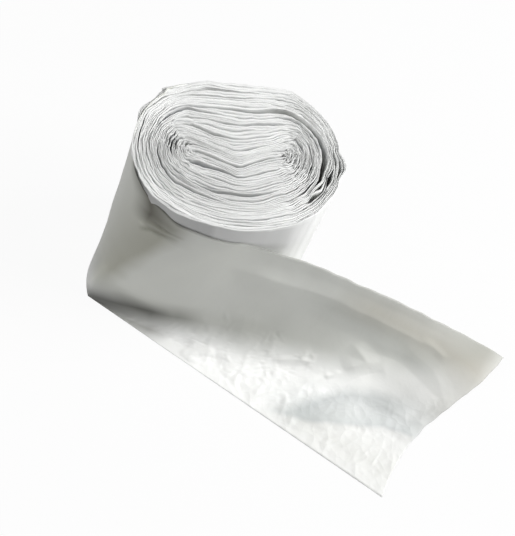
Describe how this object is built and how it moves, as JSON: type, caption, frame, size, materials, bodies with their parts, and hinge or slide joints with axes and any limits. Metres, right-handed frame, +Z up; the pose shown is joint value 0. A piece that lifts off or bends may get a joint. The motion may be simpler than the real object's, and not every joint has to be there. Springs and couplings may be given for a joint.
{
  "type": "roll of bin liners",
  "caption": "Coreless roll of folded white film bin liners standing on its end, wound round a flattened eye, with the outer liner peeled off and run out over the floor as a loose tail.",
  "frame": {"origin": "centre of the roll's base, where it stands on the floor", "axes": "+Z up along the winding axis, +X along the loose tail's lower edge away from the roll, +Y from that edge towards the back"},
  "size_m": [0.2726, 0.1316, 0.14],
  "materials": {
    "film": "thin crinkled white film, satin"
  },
  "bodies": {
    "root": {"liner_roll": "film"}
  },
  "joints": []
}
